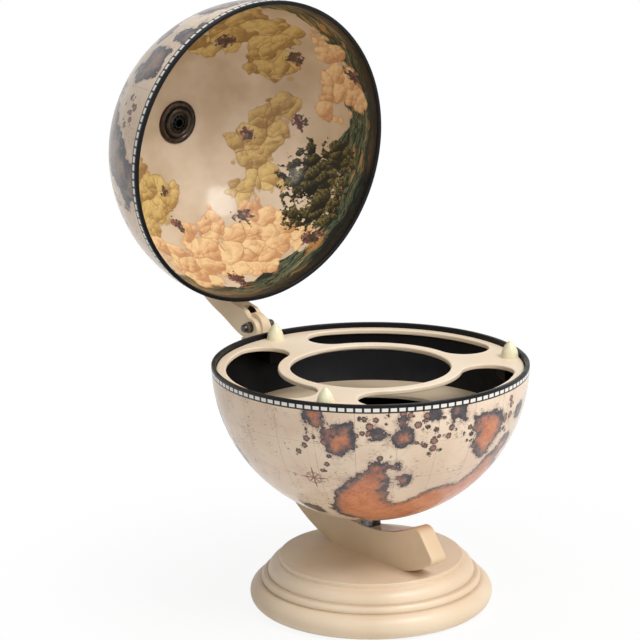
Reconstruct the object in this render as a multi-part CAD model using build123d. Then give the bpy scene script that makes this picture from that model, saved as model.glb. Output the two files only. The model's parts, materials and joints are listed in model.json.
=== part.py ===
from build123d import *
import os
from math import asin, cos, radians, sin, sqrt

os.makedirs("parts", exist_ok=True)

# Tabletop globe bar, in millimetres. The origin is the centre of the felt's underside, +Z is up,
# the hinge is on the +Y side and the two arms lie in the YZ plane. The lid stands open on its stop.

# Globe shells
GLOBE_R = 165.0          # outer radius of both half shells
WALL = 4.5               # wall of the shells
RIM_RING_H = 3.2         # height of the black ring that edges each shell
RIM_EDGE = 1.2           # rounding of the ring's lip
RIM_GAP = 1.0            # gap between the two lips when the lid is shut
FIT_GAP = 0.15           # play of a glued piece in its seat

# Base
FELT_T = 1.5
FELT_INSET = 3.0         # felt edge inside the plinth's flat underside
BASE_R = 128.0           # widest radius of the plinth
PLINTH_H = 50.5          # plinth alone, without the felt
HALF_ROUND_R = 13.0      # big half-round moulding at the foot
HALF_ROUND_Z = 13.0      # height of its centre above the table
BEAD_OUT = 0.6           # bead above it, beyond the half-round's centre circle at mid height
BEAD_H = 8.0
STEP_IN = 6.0            # foot of the top step, inside the half-round's centre circle
STEP_ROUND = 12.0        # width of its rounded shoulder
TOP_RISE = 5.0           # raised flat top above the shoulder
TOP_EDGE = 1.0           # rounding of the raised top's edge

# Arms
ARM_W = 20.0             # width of both arms
ARM_EDGE = 1.4           # rounding of their long edges
FOOT_DEPTH = 32.5        # lower arm under the bowl, from its seat down to the plinth
FOOT_BACK = 57.5         # flat foot behind the bowl's axis
FOOT_FRONT = 66.0        # and in front of it
LOWER_ARM_DEPTH = 37.8   # radial depth of the lower arm at 45 degrees
NOSE_SWEEP = 28.7        # the nose passes the bowl's axis by this angle, in degrees
NOSE_LENGTH = 42.0       # end face of the nose
NOSE_LEAN = 51.3         # slope of that face, in degrees
TOE_RISE = 12.0          # the nose's underside leaves the flat foot at this angle
NOSE_ROUND = 12.0
NOSE_TIP_ROUND = 5.0
LID_ARM_DEPTH = 24.0     # radial depth of the upper arm
LID_ARM_PAST = 10.5      # the upper arm passes the lid's axis by this angle, in degrees
LID_ARM_END_ROUND = 8.0
SWELL_END = 16.0         # the swelling at the hinge ends at this angle, in degrees

# Hinge
HINGE_OUT = 16.5         # pin axis outside the arms' inner edge
HINGE_DROP = 0.5         # pin axis under the bowl's rim
LID_OPEN = 85.3          # swing of the lid, in degrees
TONGUE_R = 15.0
TONGUE_W = 8.0
FORK_SLOT = 8.4
SLOT_ROOT = 22.5         # root of the fork's slot above the pin axis
CHEEK_OUT = 16.0         # back edge of the fork's cheeks behind the pin axis
CHEEK_END_R = 13.0       # round end of the cheeks, centred a little behind the pin
CHEEK_BLEND = 15.0       # the cheeks' inner edge meets the arm's arc this far above the pin
CHEEK_GAP = 0.3          # play between the cheeks and the shoulders of the lower arm
HORN_DROP = 9.0          # top of the shoulders on the bowl's side, under the pin axis
HINGE_PIN_R = 3.0
HINGE_WASHER_R = 6.2
HINGE_WASHER_T = 1.2
CAP_NUT_FLATS = 10.0
CAP_NUT_HEX_H = 5.0
CAP_NUT_DOME_R = 4.6
CAP_NUT_DOME_H = 6.0
CAP_NUT_GRIP = 8.0       # thread length inside a cap nut
CAP_NUT_EDGE = 0.7       # height of the eased corners at its dome

# Pole bolts and what turns on them
BOLT_R = 6.0
RUNNING = 0.05           # radial clearance of a turning fit
BOLT_CLEARANCE = 0.4     # radial clearance of the bolt's hole in wood
NUT_FLATS = 19.0
NUT_H = 10.0
NUT_EDGE = 0.8           # height of the eased corners of the nuts
WASHER_R = 12.0
WASHER_T = 2.5
TURN_GAP = 0.1           # play between a washer and what turns on it
BOLT_HEAD_H = 7.5
HEAD_POCKET_R = 14.0
HEAD_RECESS = 2.0        # bolt head above the plinth's underside
LID_HEAD_R = 12.0
LID_HEAD_H = 6.5
LID_HEAD_RIM = 1.2       # upright edge of the round head
SEAT_CUT = 0.6           # depth of the flat cut for the lid bolt's washer
BOLT_SOCKET_R = 4.4      # hollow in the bolt's inner end
BOLT_SOCKET_DEPTH = 9.0
BOLT_EDGE = 0.4          # chamfer of the bolts' inner ends

# Flanged bush that each shell turns on, and the star washer that keeps it there
FLANGE_R = 24.5
FLANGE_LIP = 1.2
FLANGE_RING_R = 21.2     # crest of the outer ring
FLANGE_RISE = 2.3        # and its height above the lip
FLANGE_VALLEY_R = 17.4
CUP_CREST_R = 14.0       # crest of the inner ring
CUP_CREST_RISE = 3.0     # heights above the cup's floor
CUP_RIM_RISE = 1.6
VALLEY_RISE = 0.2
CUP_R = 11.4             # cup that holds the star washer
CUP_FLOOR = 4.0          # height of the cup's floor above the wall
NECK_R = 8.5
STAR_R = 10.8
STAR_T = 0.9
STAR_DISH = 1.1          # rise of the star washer's teeth
STAR_SLOT_R = 8.6
STAR_SLOT_W = 2.4
STAR_TEETH = 10
BOLT_TIP = 2.2           # bolt end beyond the cup's floor

# Tray, shelf and what holds the tray
TRAY_DROP = 5.0          # tray top under the bowl's rim
TRAY_T = 5.0
TRAY_EDGE = 1.5
TRAY_PLAY = 0.45         # radial play of the tray in the shell
TRAY_HOLE_R = 83.5
TRAY_RING_W = 12.5       # ring between the centre hole and the kidney openings
TRAY_MARGIN = 10.0       # between the kidney openings and the tray's edge
KIDNEY_SPAN = 72.8       # between the centres of a kidney's round ends, in degrees
PLACES = 3               # kidneys, pegs, cleats and screws around the tray
TRAY_TURN = 93.5         # first of them, in degrees from the +X side
SHELF_DROP = 61.7        # shelf top under the bowl's rim
SHELF_T = 5.0
SHELF_HOLE_R = 93.0
SHELF_EDGE = 1.2
PEG_INSET = 10.0         # peg axis inside the tray's edge
PEG_R = 9.2
PEG_H = 17.5
PEG_FOOT_H = 1.2         # upright foot of a peg
PEG_BELLY = 0.8          # radius half way up, as a share of the foot's
PEG_TIP_R = 2.6
PEG_TIP_H = 1.6
CLEAT_W = 34.0
CLEAT_IN = 10.0          # cleat on the inner side of its screw
CLEAT_H = 18.0
SCREW_R = 1.75
SCREW_HEAD_R = 4.0
SCREW_HEAD_H = 2.4
SCREW_BITE = 12.0        # depth in the cleat

# Wood screws through the plinth
WOOD_SCREW_R = 2.5
WOOD_SCREW_HEAD_R = 5.0
WOOD_SCREW_HEAD_H = 3.0
WOOD_SCREW_BITE = 18.0
WOOD_SCREW_INSET = 22.0  # from either end of the arm's flat foot
WOOD_SCREW_POCKET = 16.0
PLAY = 0.1               # radial play of screws in their holes

# Heights and places that follow
RING_R = BASE_R - HALF_ROUND_R
FOOT_R = RING_R + sqrt(HALF_ROUND_R**2 - (HALF_ROUND_Z - FELT_T) ** 2)
BASE_TOP = FELT_T + PLINTH_H
HEAD_SEAT_Z = FELT_T + HEAD_RECESS + BOLT_HEAD_H + WASHER_T
WOOD_SCREW_Y = (FOOT_BACK - WOOD_SCREW_INSET, -(FOOT_FRONT - WOOD_SCREW_INSET))
ARM_INNER_R = GLOBE_R + NUT_H + WASHER_T
BACK_R = ARM_INNER_R + LOWER_ARM_DEPTH
RIM_Z = BASE_TOP + FOOT_DEPTH + ARM_INNER_R
LID_Z = RIM_Z + RIM_GAP
INNER_R = GLOBE_R - WALL
HINGE_Y = ARM_INNER_R + HINGE_OUT
HINGE_Z = RIM_Z - HINGE_DROP
HINGE_AXIS = Axis((0, HINGE_Y, HINGE_Z), (1, 0, 0))
TRAY_TOP = RIM_Z - TRAY_DROP
TRAY_R = INNER_R - TRAY_PLAY
KIDNEY_W = TRAY_R - TRAY_MARGIN - TRAY_HOLE_R - TRAY_RING_W
KIDNEY_R = TRAY_R - TRAY_MARGIN - KIDNEY_W / 2
PEG_PLACE_R = TRAY_R - PEG_INSET
ARM_SEAT_Z = RIM_Z - ARM_INNER_R
WALL_Z = RIM_Z - INNER_R
TIP_Z = WALL_Z + CUP_FLOOR + BOLT_TIP


def lathe(*edges):
    """Solid turned about +Z from a closed outline of (radius, height)."""
    return revolve(Plane.XZ * make_face(list(edges)), Axis.Z)


def ball_cap(radius, low, height):
    """Quarter outline of a ball's cap on the axis; a negative height points down."""
    ball_r = (radius**2 + height**2) / (2 * abs(height))
    side = 1 if height > 0 else -1
    centre_z = low + height - side * ball_r
    rim_angle = asin((low - centre_z) / (side * ball_r))
    middle = (rim_angle + radians(90)) / 2
    via = (ball_r * cos(middle), centre_z + side * ball_r * sin(middle))
    return ThreePointArc((radius, low), via, (0, low + height))


def slab(outline, width):
    """Plate of the given width across X from an outline in (y, z)."""
    return extrude(Plane.YZ * outline, amount=width / 2, both=True)


def rod(radius, low, high):
    return Pos(0, 0, low) * Cylinder(radius, high - low, align=(Align.CENTER, Align.CENTER, Align.MIN))


def hexagon(flats, low, high):
    return Pos(0, 0, low) * extrude(RegularPolygon(flats / sqrt(3), 6), amount=high - low)


def across(solid):
    """Turn something made along +Z to lie along +X at the hinge axis."""
    return Pos(0, HINGE_Y, HINGE_Z) * (Rot(0, 90, 0) * solid)


def polar(centre_z, radius, angle):
    """Point (y, z) at an angle above the +Y side, seen from a globe's centre."""
    return radius * cos(radians(angle)), centre_z + radius * sin(radians(angle))


def hinge_polar(radius, angle):
    return HINGE_Y + radius * cos(radians(angle)), HINGE_Z + radius * sin(radians(angle))


def opened(solid):
    """Swing a piece of the shut lid back to where it stands open."""
    return solid.rotate(HINGE_AXIS, -LID_OPEN)


def rounded(outline, corners, radius):
    """Ease the outline's corners nearest to the given points."""
    for corner in corners:
        nearest = outline.vertices().sort_by_distance((corner[0], corner[1], 0))[0]
        outline = fillet(nearest, radius)
    return outline


def mirrored_up(solid):
    """From the bowl's pole to the lid's pole, on the shut globe."""
    return Pos(0, 0, LID_Z + RIM_Z) * (Rot(180, 0, 0) * solid)


def save(name, shape):
    solids = shape.solids()
    export_step(solids[0] if len(solids) == 1 else Compound(children=list(solids)), f"parts/{name}.step")


# ---------------------------------------------------------------- base
def base_plinth():
    crown_z = HALF_ROUND_Z + HALF_ROUND_R
    step_r = RING_R - STEP_IN
    step_z = crown_z + BEAD_H
    flat_r = step_r - STEP_ROUND
    shoulder_z = BASE_TOP - TOP_RISE
    half_way = sin(radians(45))
    shoulder_via = (flat_r + half_way * STEP_ROUND, step_z + half_way * (shoulder_z - step_z))
    edge_via = (flat_r - (1 - half_way) * TOP_EDGE, BASE_TOP - (1 - half_way) * TOP_EDGE)
    profile = [
        Line((0, FELT_T), (FOOT_R, FELT_T)),
        ThreePointArc((FOOT_R, FELT_T), (BASE_R, HALF_ROUND_Z), (RING_R, crown_z)),
        ThreePointArc((RING_R, crown_z), (RING_R + BEAD_OUT, crown_z + BEAD_H / 2), (step_r, step_z)),
        ThreePointArc((step_r, step_z), shoulder_via, (flat_r, shoulder_z)),
        Line((flat_r, shoulder_z), (flat_r, BASE_TOP - TOP_EDGE)),
        ThreePointArc((flat_r, BASE_TOP - TOP_EDGE), edge_via, (flat_r - TOP_EDGE, BASE_TOP)),
        Line((flat_r - TOP_EDGE, BASE_TOP), (0, BASE_TOP)),
        Line((0, BASE_TOP), (0, FELT_T)),
    ]
    plinth = lathe(*profile)
    plinth -= rod(BOLT_R + BOLT_CLEARANCE, 0, BASE_TOP)
    plinth -= rod(HEAD_POCKET_R, 0, HEAD_SEAT_Z)
    for y in WOOD_SCREW_Y:
        plinth -= Pos(0, y, 0) * rod(WOOD_SCREW_R + PLAY, 0, BASE_TOP)
        plinth -= Pos(0, y, 0) * rod(WOOD_SCREW_HEAD_R + 2 * PLAY, 0, FELT_T + WOOD_SCREW_POCKET)
    return plinth


def base_felt():
    return rod(FOOT_R - FELT_INSET, 0, FELT_T)


def arm_screws():
    head_z = FELT_T + WOOD_SCREW_POCKET
    screw = rod(WOOD_SCREW_R, head_z, BASE_TOP + WOOD_SCREW_BITE)
    screw += rod(WOOD_SCREW_HEAD_R, head_z - WOOD_SCREW_HEAD_H, head_z)
    return Part() + [Pos(0, y, 0) * screw for y in WOOD_SCREW_Y]


# ---------------------------------------------------------------- lower arm
def lower_arm():
    shoulder_r = CHEEK_OUT + CHEEK_GAP
    horn_z = HINGE_Z - HORN_DROP
    horn = (sqrt(ARM_INNER_R**2 - (RIM_Z - horn_z) ** 2), horn_z)
    seat_in = (HINGE_Y - sqrt(shoulder_r**2 - HORN_DROP**2), horn_z)
    seat_low = hinge_polar(shoulder_r, -LID_OPEN - 45)
    seat_out = hinge_polar(shoulder_r, -LID_OPEN)
    slope = radians(90 - LID_OPEN)
    stop_out = (seat_out[0] + CHEEK_OUT * cos(slope), seat_out[1] + CHEEK_OUT * sin(slope))
    crest = polar(RIM_Z, ARM_INNER_R, -90 - NOSE_SWEEP)
    lean = radians(NOSE_LEAN)
    tip = (crest[0] - NOSE_LENGTH * cos(lean), crest[1] - NOSE_LENGTH * sin(lean))
    toe = (-FOOT_FRONT, BASE_TOP)
    heel = (FOOT_BACK, BASE_TOP)
    rise = radians(TOE_RISE)
    outline = make_face(
        [
            ThreePointArc(horn, polar(RIM_Z, ARM_INNER_R, -60), crest),
            Line(crest, tip),
            TangentArc(toe, tip, tangent=(-cos(rise), sin(rise))),
            Line(toe, heel),
            ThreePointArc(heel, polar(RIM_Z, BACK_R, -45), stop_out),
            Line(stop_out, seat_out),
            ThreePointArc(seat_out, seat_low, seat_in),
            Line(seat_in, horn),
        ]
    )
    outline = rounded(outline, [crest], NOSE_ROUND)
    outline = rounded(outline, [tip], NOSE_TIP_ROUND)
    arm = slab(outline, ARM_W)
    side_edges = [
        edge
        for edge in arm.edges().filter_by(lambda e: abs(abs(e.center().X) - ARM_W / 2) < 0.01)
        if BASE_TOP + 1 < edge.center().Z < horn_z - CHEEK_OUT
    ]
    arm = fillet(side_edges, ARM_EDGE)
    tongue = Pos(HINGE_Y, HINGE_Z) * Circle(TONGUE_R)
    tongue += Pos(HINGE_Y, HINGE_Z - TONGUE_R) * Rectangle(2 * TONGUE_R, 2 * TONGUE_R)
    arm += slab(tongue, TONGUE_W)
    arm -= across(Cylinder(HINGE_PIN_R + RUNNING, ARM_W))
    arm -= rod(WASHER_R + PLAY, RIM_Z - ARM_INNER_R, RIM_Z)
    arm -= rod(BOLT_R + PLAY, 0, RIM_Z)
    for y in WOOD_SCREW_Y:
        arm -= Pos(0, y, 0) * rod(WOOD_SCREW_R + PLAY, 0, BASE_TOP + WOOD_SCREW_BITE)
    return arm


# ---------------------------------------------------------------- upper arm, drawn as on the shut globe
def upper_arm():
    outer_r = ARM_INNER_R + LID_ARM_DEPTH
    out = (HINGE_Y + CHEEK_OUT, HINGE_Z)
    low = (out[0] - CHEEK_END_R, HINGE_Z - CHEEK_END_R)
    cheek_in = (out[0] - 2 * CHEEK_END_R, HINGE_Z)
    blend_z = HINGE_Z + CHEEK_BLEND
    blend = (sqrt(ARM_INNER_R**2 - (blend_z - LID_Z) ** 2), blend_z)
    blend_turn = asin((blend_z - LID_Z) / ARM_INNER_R)
    end_in = polar(LID_Z, ARM_INNER_R, 90 + LID_ARM_PAST)
    end_out = polar(LID_Z, outer_r, 90 + LID_ARM_PAST)
    swell = polar(LID_Z, outer_r, SWELL_END)
    turn = radians(SWELL_END)
    outline = make_face(
        [
            ThreePointArc(out, low, cheek_in),
            Spline(cheek_in, blend, tangents=[(0, 1), (-sin(blend_turn), cos(blend_turn))]),
            ThreePointArc(blend, polar(LID_Z, ARM_INNER_R, 50), end_in),
            Line(end_in, end_out),
            ThreePointArc(end_out, polar(LID_Z, outer_r, 50), swell),
            Spline(swell, out, tangents=[(sin(turn), -cos(turn)), (0, -1)]),
        ]
    )
    arm = slab(rounded(outline, [end_in, end_out], LID_ARM_END_ROUND), ARM_W)
    side_edges = arm.edges().filter_by(lambda e: abs(abs(e.center().X) - ARM_W / 2) < 0.01)
    arm = fillet(side_edges, ARM_EDGE)
    slot_h = SLOT_ROOT + 2 * CHEEK_OUT
    arm -= Pos(0, HINGE_Y, HINGE_Z + SLOT_ROOT - slot_h / 2) * Box(FORK_SLOT, 4 * CHEEK_OUT, slot_h)
    arm -= across(Cylinder(HINGE_PIN_R + RUNNING, 2 * ARM_W))
    arm -= mirrored_up(rod(WASHER_R + PLAY, RIM_Z - ARM_INNER_R, RIM_Z))
    arm -= mirrored_up(rod(WASHER_R + PLAY, RIM_Z - outer_r - WASHER_R, RIM_Z - outer_r + SEAT_CUT))
    arm -= mirrored_up(rod(BOLT_R + PLAY, 0, RIM_Z))
    return arm


# ---------------------------------------------------------------- hinge
def hinge_pin():
    half = ARM_W / 2 + HINGE_WASHER_T + CAP_NUT_GRIP
    return across(Cylinder(HINGE_PIN_R, 2 * half))


def both_ends(solid):
    """A piece made along +Z from the arm's side face, and its mirror image at the other side."""
    return Part() + [across(solid), across(mirror(solid, Plane.XY))]


def hinge_washers():
    low = ARM_W / 2
    washer = rod(HINGE_WASHER_R, low, low + HINGE_WASHER_T)
    return both_ends(washer - rod(HINGE_PIN_R + PLAY, 0, ARM_W))


def hinge_cap_nuts():
    low = ARM_W / 2 + HINGE_WASHER_T
    top = low + CAP_NUT_HEX_H
    corner_r = CAP_NUT_FLATS / sqrt(3)
    hex_part = hexagon(CAP_NUT_FLATS, low, top) & lathe(
        Line((0, low), (corner_r, low)),
        Line((corner_r, low), (corner_r, top - CAP_NUT_EDGE)),
        Line((corner_r, top - CAP_NUT_EDGE), (CAP_NUT_DOME_R, top)),
        Line((CAP_NUT_DOME_R, top), (0, top)),
        Line((0, top), (0, low)),
    )
    cap = lathe(
        Line((0, top), (CAP_NUT_DOME_R, top)),
        ball_cap(CAP_NUT_DOME_R, top, CAP_NUT_DOME_H),
        Line((0, top + CAP_NUT_DOME_H), (0, top)),
    )
    return both_ends(hex_part + cap - rod(HINGE_PIN_R, low, low + CAP_NUT_GRIP))


# ---------------------------------------------------------------- pole bolts, drawn at the bowl's pole
def bolt_shank(low):
    shank = rod(BOLT_R, low, TIP_Z) - rod(BOLT_SOCKET_R, TIP_Z - BOLT_SOCKET_DEPTH, TIP_Z)
    mouth = shank.edges().filter_by(GeomType.CIRCLE).group_by(Axis.Z)[-1]
    return chamfer(mouth, BOLT_EDGE)


def base_bolt():
    head_top = HEAD_SEAT_Z - WASHER_T
    return bolt_shank(head_top) + hexagon(NUT_FLATS, head_top - BOLT_HEAD_H, head_top)


def base_bolt_washer():
    return rod(WASHER_R, HEAD_SEAT_Z - WASHER_T, HEAD_SEAT_Z) - rod(BOLT_R + PLAY, 0, BASE_TOP)


def lid_bolt():
    seat = RIM_Z - ARM_INNER_R - LID_ARM_DEPTH + SEAT_CUT - WASHER_T
    rim = seat - LID_HEAD_RIM
    head = lathe(
        Line((0, seat), (LID_HEAD_R, seat)),
        Line((LID_HEAD_R, seat), (LID_HEAD_R, rim)),
        ball_cap(LID_HEAD_R, rim, LID_HEAD_RIM - LID_HEAD_H),
        Line((0, seat - LID_HEAD_H), (0, seat)),
    )
    return bolt_shank(seat) + head


def lid_bolt_washer():
    high = RIM_Z - ARM_INNER_R - LID_ARM_DEPTH + SEAT_CUT
    return rod(WASHER_R, high - WASHER_T, high) - rod(BOLT_R + PLAY, 0, RIM_Z)


def spacer_nut():
    low, high = ARM_SEAT_Z, ARM_SEAT_Z + NUT_H
    corner_r, face_r = NUT_FLATS / sqrt(3), NUT_FLATS / 2
    nut = hexagon(NUT_FLATS, low, high)
    nut &= lathe(
        Line((0, low), (face_r, low)),
        Line((face_r, low), (corner_r, low + NUT_EDGE)),
        Line((corner_r, low + NUT_EDGE), (corner_r, high - NUT_EDGE)),
        Line((corner_r, high - NUT_EDGE), (face_r, high)),
        Line((face_r, high), (0, high)),
        Line((0, high), (0, low)),
    )
    return nut - rod(BOLT_R, 0, RIM_Z)


def thrust_washer():
    low = ARM_SEAT_Z + NUT_H
    return rod(WASHER_R, low, low + WASHER_T - TURN_GAP) - rod(BOLT_R + PLAY, 0, RIM_Z)


def star_washer():
    """Dished disc with teeth that grip the bolt's end."""
    low = WALL_Z + CUP_FLOOR + TURN_GAP
    washer = lathe(
        Line((BOLT_R, low + STAR_DISH), (STAR_R, low)),
        Line((STAR_R, low), (STAR_R, low + STAR_T)),
        Line((STAR_R, low + STAR_T), (BOLT_R, low + STAR_DISH + STAR_T)),
        Line((BOLT_R, low + STAR_DISH + STAR_T), (BOLT_R, low + STAR_DISH)),
    )
    slot = Pos(STAR_SLOT_R / 2, 0, low) * Box(STAR_SLOT_R, STAR_SLOT_W, 4 * (STAR_DISH + STAR_T))
    return washer - [Rot(0, 0, i * 360 / STAR_TEETH) * slot for i in range(STAR_TEETH)]


def escutcheon():
    """Flanged bush: two rolled rings around a cup, on a neck through the shell's wall."""
    back_r = INNER_R - FIT_GAP
    lip_low = RIM_Z - sqrt(back_r**2 - FLANGE_R**2)
    neck_top = RIM_Z - sqrt(back_r**2 - NECK_R**2)
    neck_end = RIM_Z - GLOBE_R + FIT_GAP
    lip_top = lip_low + FLANGE_LIP
    valley = (FLANGE_VALLEY_R, WALL_Z + CUP_FLOOR + VALLEY_RISE)
    cup_rim = (CUP_R, WALL_Z + CUP_FLOOR + CUP_RIM_RISE)
    cup_floor = WALL_Z + CUP_FLOOR
    bore = BOLT_R + RUNNING
    middle_r = (FLANGE_R + NECK_R) / 2
    return lathe(
        Line((bore, neck_end), (NECK_R, neck_end)),
        Line((NECK_R, neck_end), (NECK_R, neck_top)),
        ThreePointArc(
            (NECK_R, neck_top),
            (middle_r, RIM_Z - sqrt(back_r**2 - middle_r**2)),
            (FLANGE_R, lip_low),
        ),
        Line((FLANGE_R, lip_low), (FLANGE_R, lip_top)),
        ThreePointArc((FLANGE_R, lip_top), (FLANGE_RING_R, lip_top + FLANGE_RISE), valley),
        ThreePointArc(valley, (CUP_CREST_R, cup_floor + CUP_CREST_RISE), cup_rim),
        Line(cup_rim, (CUP_R, cup_floor)),
        Line((CUP_R, cup_floor), (bore, cup_floor)),
        Line((bore, cup_floor), (bore, neck_end)),
    )


# ---------------------------------------------------------------- half shells, drawn as the bowl
def half_globe(low_ring):
    """Hollow half ball; low_ring picks the part under the edge ring, or else the ring."""
    split = RIM_Z - RIM_RING_H
    ball = Pos(0, 0, RIM_Z) * (Sphere(GLOBE_R) - Sphere(INNER_R))
    if low_ring:
        return (ball & rod(2 * GLOBE_R, 0, split)) - rod(NECK_R + FIT_GAP, 0, RIM_Z)
    ring = ball & rod(2 * GLOBE_R, split, RIM_Z)
    return fillet(ring.edges().group_by(Axis.Z)[-1], RIM_EDGE)


# ---------------------------------------------------------------- inside the bowl
def around(solid, radius):
    """Copies of a piece at the webs between the kidneys, the first one near the hinge."""
    return [Rot(0, 0, TRAY_TURN + i * 360 / PLACES) * (Pos(radius, 0, 0) * solid) for i in range(PLACES)]


def serving_tray():
    outline = Circle(TRAY_R) - Circle(TRAY_HOLE_R)
    for i in range(PLACES):
        middle = TRAY_TURN + (i + 0.5) * 360 / PLACES
        kidney = SlotArc(CenterArc((0, 0), KIDNEY_R, middle - KIDNEY_SPAN / 2, KIDNEY_SPAN), KIDNEY_W)
        outline -= kidney
    tray = extrude(Pos(0, 0, TRAY_TOP) * outline, amount=-TRAY_T)
    faces = tray.faces().sort_by(Axis.Z)
    tray = fillet(faces[-1].edges() + faces[0].edges(), TRAY_EDGE)
    return tray - around(rod(SCREW_R + PLAY, 0, RIM_Z), PEG_PLACE_R)


def bottle_shelf():
    top_z, low_z = RIM_Z - SHELF_DROP, RIM_Z - SHELF_DROP - SHELF_T
    fit_r = INNER_R - FIT_GAP
    top_r, low_r = sqrt(fit_r**2 - (RIM_Z - top_z) ** 2), sqrt(fit_r**2 - (RIM_Z - low_z) ** 2)
    shelf = lathe(
        Line((SHELF_HOLE_R, low_z), (low_r, low_z)),
        Line((low_r, low_z), (top_r, top_z)),
        Line((top_r, top_z), (SHELF_HOLE_R, top_z)),
        Line((SHELF_HOLE_R, top_z), (SHELF_HOLE_R, low_z)),
    )
    hole_edges = shelf.edges().filter_by(GeomType.CIRCLE).filter_by(
        lambda e: abs(e.radius - SHELF_HOLE_R) < 0.01
    )
    return fillet(hole_edges, SHELF_EDGE)


def tray_cleats():
    high = TRAY_TOP - TRAY_T
    inner = PEG_PLACE_R - CLEAT_IN
    block = Pos(inner + GLOBE_R / 2, 0, high - CLEAT_H / 2) * Box(GLOBE_R, CLEAT_W, CLEAT_H)
    block &= Pos(0, 0, RIM_Z) * Sphere(INNER_R - FIT_GAP)
    block -= Pos(PEG_PLACE_R, 0, 0) * rod(SCREW_R + PLAY, high - SCREW_BITE, high)
    return Part() + around(block, 0)


def tray_screws():
    low = TRAY_TOP - TRAY_T - SCREW_BITE
    screw = rod(SCREW_R, low, TRAY_TOP) + rod(SCREW_HEAD_R, TRAY_TOP, TRAY_TOP + SCREW_HEAD_H)
    return Part() + around(screw, PEG_PLACE_R)


def tray_pegs():
    shoulder = PEG_H - PEG_TIP_H
    peg = lathe(
        Line((0, 0), (PEG_R, 0)),
        Line((PEG_R, 0), (PEG_R, PEG_FOOT_H)),
        Spline((PEG_R, PEG_FOOT_H), (PEG_BELLY * PEG_R, PEG_H / 2), (PEG_TIP_R, shoulder)),
        ball_cap(PEG_TIP_R, shoulder, PEG_TIP_H),
        Line((0, PEG_H), (0, 0)),
    )
    peg -= rod(SCREW_HEAD_R + PLAY, 0, SCREW_HEAD_H + PLAY)
    return Part() + around(Pos(0, 0, TRAY_TOP) * peg, PEG_PLACE_R)


# ---------------------------------------------------------------- write every piece
STAND_AND_BOWL = {
    "base_plinth": base_plinth,
    "base_felt": base_felt,
    "arm_screws": arm_screws,
    "lower_arm": lower_arm,
    "base_bolt": base_bolt,
    "base_bolt_washer": base_bolt_washer,
    "bowl_spacer_nut": spacer_nut,
    "bowl_thrust_washer": thrust_washer,
    "bowl_star_washer": star_washer,
    "bowl_shell": lambda: half_globe(low_ring=True),
    "bowl_rim_ring": lambda: half_globe(low_ring=False),
    "bowl_escutcheon": escutcheon,
    "bottle_shelf": bottle_shelf,
    "serving_tray": serving_tray,
    "tray_cleats": tray_cleats,
    "tray_screws": tray_screws,
    "tray_pegs": tray_pegs,
}
LID_AND_ITS_ARM = {
    "upper_arm": upper_arm,
    "hinge_pin": hinge_pin,
    "hinge_washers": hinge_washers,
    "hinge_cap_nuts": hinge_cap_nuts,
    "lid_bolt": lambda: mirrored_up(lid_bolt()),
    "lid_bolt_washer": lambda: mirrored_up(lid_bolt_washer()),
    "lid_spacer_nut": lambda: mirrored_up(spacer_nut()),
    "lid_thrust_washer": lambda: mirrored_up(thrust_washer()),
    "lid_star_washer": lambda: mirrored_up(star_washer()),
    "lid_shell": lambda: mirrored_up(half_globe(low_ring=True)),
    "lid_rim_ring": lambda: mirrored_up(half_globe(low_ring=False)),
    "lid_escutcheon": lambda: mirrored_up(escutcheon()),
}
for name, make in STAND_AND_BOWL.items():
    save(name, make())
for name, make in LID_AND_ITS_ARM.items():
    save(name, opened(make()))
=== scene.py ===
import json
import math
import bmesh
import bpy
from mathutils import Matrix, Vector


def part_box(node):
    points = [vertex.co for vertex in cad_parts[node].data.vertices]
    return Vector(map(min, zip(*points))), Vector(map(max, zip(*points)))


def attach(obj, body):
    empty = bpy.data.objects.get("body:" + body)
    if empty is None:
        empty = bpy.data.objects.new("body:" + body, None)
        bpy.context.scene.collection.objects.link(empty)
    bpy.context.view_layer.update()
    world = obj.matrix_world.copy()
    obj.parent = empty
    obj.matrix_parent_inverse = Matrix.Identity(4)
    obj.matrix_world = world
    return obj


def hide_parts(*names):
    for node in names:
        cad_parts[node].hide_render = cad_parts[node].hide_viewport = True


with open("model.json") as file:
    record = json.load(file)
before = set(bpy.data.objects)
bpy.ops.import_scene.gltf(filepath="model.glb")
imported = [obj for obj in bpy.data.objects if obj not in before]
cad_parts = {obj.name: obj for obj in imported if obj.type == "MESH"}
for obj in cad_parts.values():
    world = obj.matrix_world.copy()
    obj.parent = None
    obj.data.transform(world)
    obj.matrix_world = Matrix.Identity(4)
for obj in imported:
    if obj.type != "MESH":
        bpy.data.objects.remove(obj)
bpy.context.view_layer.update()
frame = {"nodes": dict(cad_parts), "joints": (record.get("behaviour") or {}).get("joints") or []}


# ------------------------------------------------------------------ base plinth
# A disc of fibreboard turned on a lathe: a big half-round, a bead and a rounded step.
# It is primed and sprayed with a cream satin paint that dries a little uneven.
def tone(red, green, blue):
    """A colour as it is mixed, each part from 0 to 255, for a shader."""
    shares = [part / 255 for part in (red, green, blue)]
    return tuple(s / 12.92 if s <= 0.04045 else ((s + 0.055) / 1.055) ** 2.4 for s in shares) + (1.0,)


def put(tree, kind, inputs=None, **choices):
    """Add a shader node, set its choices, and fill or join its inputs."""
    node = tree.nodes.new(kind)
    for choice, value in choices.items():
        setattr(node, choice, value)
    for socket, value in (inputs or {}).items():
        if isinstance(value, bpy.types.NodeSocket):
            tree.links.new(value, node.inputs[socket])
        else:
            node.inputs[socket].default_value = value
    return node


def calc(tree, operation, first, second=0.0, third=0.0):
    return put(tree, "ShaderNodeMath", {0: first, 1: second, 2: third}, operation=operation).outputs[0]


def ranged(tree, value, low, high, from_share=0.0, to_share=1.0):
    """Share that rises smoothly while the value goes from low to high."""
    limits = {"Value": value, "From Min": low, "From Max": high, "To Min": from_share, "To Max": to_share}
    return put(tree, "ShaderNodeMapRange", limits, interpolation_type="SMOOTHSTEP").outputs[0]


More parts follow.
